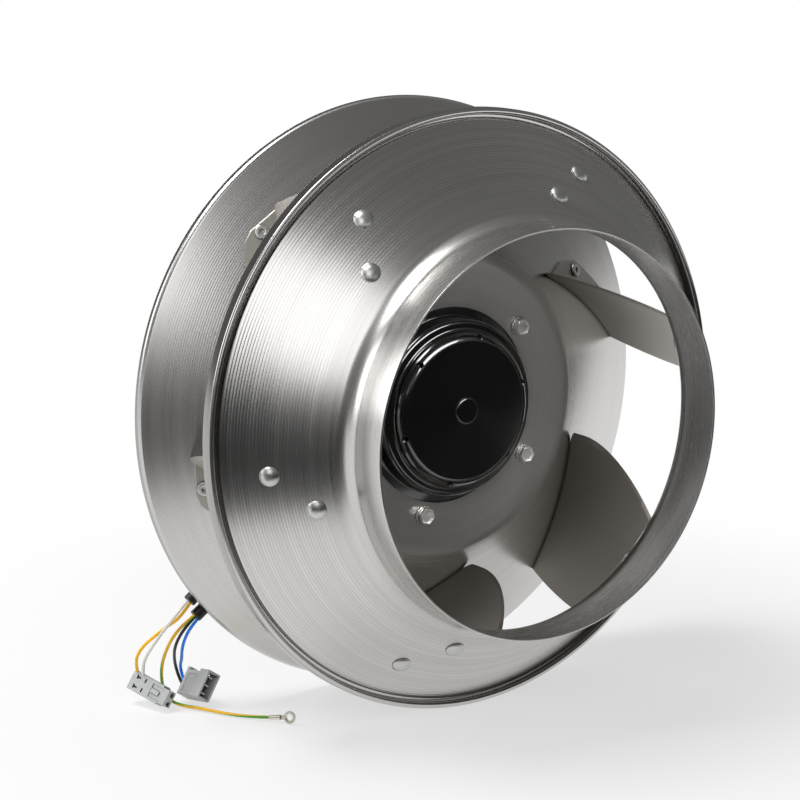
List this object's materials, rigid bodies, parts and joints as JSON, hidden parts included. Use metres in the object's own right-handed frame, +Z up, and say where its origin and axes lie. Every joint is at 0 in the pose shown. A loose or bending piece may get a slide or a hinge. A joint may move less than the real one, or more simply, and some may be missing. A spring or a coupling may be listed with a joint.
{
  "type": "motorised impeller",
  "caption": "Backward-curved radial fan wheel with conical inlet shroud and back plate, carried by an external-rotor motor with two loose leads.",
  "frame": {"origin": "centre of the motor's mounting face", "axes": "+Z up as it stands on its rims; the wheel's axis lies along Y, the air inlet looks along -Y, the mounting face looks along +Y"},
  "size_m": [0.4016, 0.2234, 0.4016],
  "materials": {
    "spun_aluminium": "spun, with fine concentric tool marks",
    "blade_aluminium": "rolled sheet, satin",
    "rivet_aluminium": "bright pressed heads",
    "zinc_steel": "bright zinc plate",
    "black_enamel": "black gloss enamel",
    "ferrite": "sintered, matte",
    "bearing_steel": "ground",
    "cast_aluminium": "die-cast, fine grain",
    "black_plastic": "moulded",
    "circuit_board": "green solder resist",
    "dark_plastic": "moulded",
    "core_steel": "stacked laminations",
    "white_nylon": "moulded",
    "copper": "enamelled winding wire",
    "black_sheath": "extruded, satin",
    "white_insulation": "extruded",
    "yellow_insulation": "extruded",
    "earth_insulation": "extruded, green with a yellow stripe",
    "black_insulation": "extruded",
    "blue_insulation": "extruded",
    "grey_plastic": "moulded",
    "tinned_brass": "tinned"
  },
  "bodies": {
    "impeller": {"inlet_shroud": "spun_aluminium", "rear_disc": "spun_aluminium", "blade_1": "blade_aluminium", "blade_2": "blade_aluminium", "blade_3": "blade_aluminium", "blade_4": "blade_aluminium", "blade_5": "blade_aluminium", "blade_6": "blade_aluminium", "shroud_rivets": "rivet_aluminium", "disc_rivets": "rivet_aluminium", "hub_bolts": "zinc_steel", "hub_washers": "zinc_steel", "rotor_cup": "black_enamel", "rotor_magnets": "ferrite", "rotor_shaft": "bearing_steel", "shaft_circlip": "bearing_steel", "front_bearing_inner_ring": "bearing_steel", "rear_bearing_inner_ring": "bearing_steel"},
    "front_ball_set": {"front_bearing_balls": "bearing_steel", "front_bearing_cage": "bearing_steel"},
    "rear_ball_set": {"rear_bearing_balls": "bearing_steel", "rear_bearing_cage": "bearing_steel"},
    "stator": {"stator_pot": "cast_aluminium", "board_cover": "black_plastic", "control_board": "circuit_board", "board_components": "dark_plastic", "board_screws": "zinc_steel", "stator_core": "core_steel", "core_insulators": "white_nylon", "stator_windings": "copper", "preload_spring": "bearing_steel", "front_bearing_outer_ring": "bearing_steel", "rear_bearing_outer_ring": "bearing_steel", "control_gland": "black_plastic", "power_gland": "black_plastic", "control_cable": "black_sheath", "power_cable": "black_sheath", "white_core": "white_insulation", "yellow_core": "yellow_insulation", "earth_core": "earth_insulation", "black_core": "black_insulation", "blue_core": "blue_insulation", "control_sleeve": "black_sheath", "power_sleeve": "black_sheath", "control_connector": "grey_plastic", "control_contacts": "tinned_brass", "power_connector": "grey_plastic", "power_contacts": "tinned_brass", "earth_lug": "tinned_brass"}
  },
  "joints": [
    {"name": "impeller_spin", "type": "hinge", "parent": "stator", "child": "impeller", "pos_m": [0, 0, 0], "axis": [0, -1, 0], "continuous": true},
    {"name": "front_bearing_orbit", "type": "hinge", "parent": "stator", "child": "front_ball_set", "pos_m": [0, 0, 0], "axis": [0, -1, 0], "continuous": true},
    {"name": "rear_bearing_orbit", "type": "hinge", "parent": "stator", "child": "rear_ball_set", "pos_m": [0, 0, 0], "axis": [0, -1, 0], "continuous": true}
  ],
  "couplings": [
    {"joint": "front_bearing_orbit", "follows": "impeller_spin", "ratio": 0.3636},
    {"joint": "rear_bearing_orbit", "follows": "impeller_spin", "ratio": 0.3636}
  ]
}
